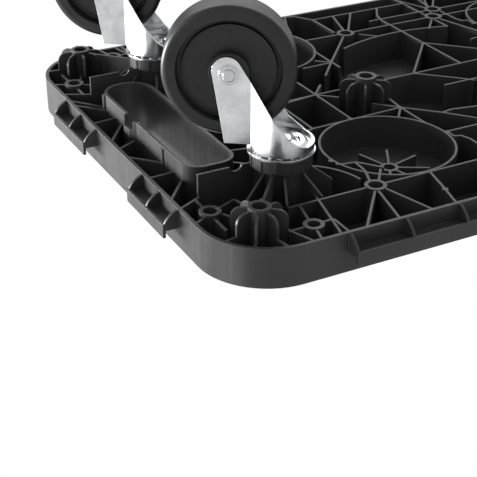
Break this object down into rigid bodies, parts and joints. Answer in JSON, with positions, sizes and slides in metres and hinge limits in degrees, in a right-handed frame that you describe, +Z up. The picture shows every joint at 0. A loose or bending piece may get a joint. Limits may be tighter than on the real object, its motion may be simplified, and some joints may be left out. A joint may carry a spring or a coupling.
{
  "type": "folding platform cart",
  "caption": "Low platform cart with a ribbed plastic deck, swivel and fixed casters, a moulded hand hole, strap rails and a tubular push handle that folds flat onto the deck.",
  "frame": {"origin": "on the floor, below the middle of the deck", "axes": "+Z up, +X towards the end with the hand hole and the swivel casters, +Y to the left"},
  "size_m": [0.757, 0.467, 0.2227],
  "materials": {
    "deck_plastic": "satin moulded",
    "mat_rubber": "fine ribbed",
    "tyre_rubber": "satin",
    "core_plastic": "satin",
    "zinc_sheet": "bright zinc",
    "fastener_zinc": "bright zinc",
    "bracket_steel": "black powder coat",
    "tube_chrome": "bright zinc",
    "grip_rubber": "matt",
    "fitting_plastic": "satin"
  },
  "bodies": {
    "deck": {"bracket_screws_l": "fastener_zinc", "bracket_screws_r": "fastener_zinc", "clip_screws": "fastener_zinc", "deck_mat": "mat_rubber", "deck_moulding": "deck_plastic", "fixed_l_axle_bolt": "fastener_zinc", "fixed_l_axle_nut": "fastener_zinc", "fixed_l_fork": "zinc_sheet", "fixed_l_king_bolt": "fastener_zinc", "fixed_l_king_nut": "fastener_zinc", "fixed_r_axle_bolt": "fastener_zinc", "fixed_r_axle_nut": "fastener_zinc", "fixed_r_fork": "zinc_sheet", "fixed_r_king_bolt": "fastener_zinc", "fixed_r_king_nut": "fastener_zinc", "handle_clip_l": "fitting_plastic", "handle_clip_r": "fitting_plastic", "hinge_bracket_l": "bracket_steel", "hinge_bracket_r": "bracket_steel", "hinge_nut_l": "fastener_zinc", "hinge_nut_r": "fastener_zinc", "hinge_pin_l": "fastener_zinc", "hinge_pin_r": "fastener_zinc", "swivel_l_king_bolt": "fastener_zinc", "swivel_l_king_nut": "fastener_zinc", "swivel_l_top_plate": "zinc_sheet", "swivel_r_king_bolt": "fastener_zinc", "swivel_r_king_nut": "fastener_zinc", "swivel_r_top_plate": "zinc_sheet"},
    "handle": {"handle_tube": "tube_chrome", "handle_grip": "grip_rubber", "handle_plug_r": "fitting_plastic", "handle_plug_l": "fitting_plastic"},
    "lock": {"lock_shaft": "zinc_sheet", "lock_pedal": "fitting_plastic", "lock_cam_r": "zinc_sheet", "lock_cam_l": "zinc_sheet"},
    "swivel_fork_r": {"swivel_r_fork": "zinc_sheet", "swivel_r_bearing_balls": "fastener_zinc", "swivel_r_axle_bolt": "fastener_zinc", "swivel_r_axle_nut": "fastener_zinc"},
    "swivel_wheel_r": {"swivel_r_tyre": "tyre_rubber", "swivel_r_wheel_core": "core_plastic", "swivel_r_wheel_bush": "fastener_zinc"},
    "fixed_wheel_r": {"fixed_r_tyre": "tyre_rubber", "fixed_r_wheel_core": "core_plastic", "fixed_r_wheel_bush": "fastener_zinc"},
    "swivel_fork_l": {"swivel_l_fork": "zinc_sheet", "swivel_l_bearing_balls": "fastener_zinc", "swivel_l_axle_bolt": "fastener_zinc", "swivel_l_axle_nut": "fastener_zinc"},
    "swivel_wheel_l": {"swivel_l_tyre": "tyre_rubber", "swivel_l_wheel_core": "core_plastic", "swivel_l_wheel_bush": "fastener_zinc"},
    "fixed_wheel_l": {"fixed_l_tyre": "tyre_rubber", "fixed_l_wheel_core": "core_plastic", "fixed_l_wheel_bush": "fastener_zinc"}
  },
  "joints": [
    {"name": "swivel_r", "type": "hinge", "parent": "deck", "child": "swivel_fork_r", "pos_m": [0.27144, -0.12165, 0.1207], "axis": [0, 0, 1], "continuous": true},
    {"name": "swivel_wheel_r_spin", "type": "hinge", "parent": "swivel_fork_r", "child": "swivel_wheel_r", "pos_m": [0.30693, -0.10173, 0.052], "axis": [-0.4894, 0.8721, 0], "continuous": true},
    {"name": "fixed_wheel_r_spin", "type": "hinge", "parent": "deck", "child": "fixed_wheel_r", "pos_m": [-0.27144, -0.12165, 0.052], "axis": [0, 1, 0], "continuous": true},
    {"name": "swivel_l", "type": "hinge", "parent": "deck", "child": "swivel_fork_l", "pos_m": [0.27144, 0.12165, 0.1207], "axis": [0, 0, 1], "continuous": true},
    {"name": "swivel_wheel_l_spin", "type": "hinge", "parent": "swivel_fork_l", "child": "swivel_wheel_l", "pos_m": [0.30577, 0.14352, 0.052], "axis": [-0.5373, 0.8434, 0], "continuous": true},
    {"name": "fixed_wheel_l_spin", "type": "hinge", "parent": "deck", "child": "fixed_wheel_l", "pos_m": [-0.27144, 0.12165, 0.052], "axis": [0, 1, 0], "continuous": true},
    {"name": "handle_fold", "type": "hinge", "parent": "deck", "child": "handle", "pos_m": [-0.322, 0, 0.2067], "axis": [0, -1, 0], "range_deg": [0, 90]},
    {"name": "lock_turn", "type": "hinge", "parent": "deck", "child": "lock", "pos_m": [-0.35, 0, 0.1967], "axis": [0, 1, 0], "range_deg": [0, 50]}
  ]
}
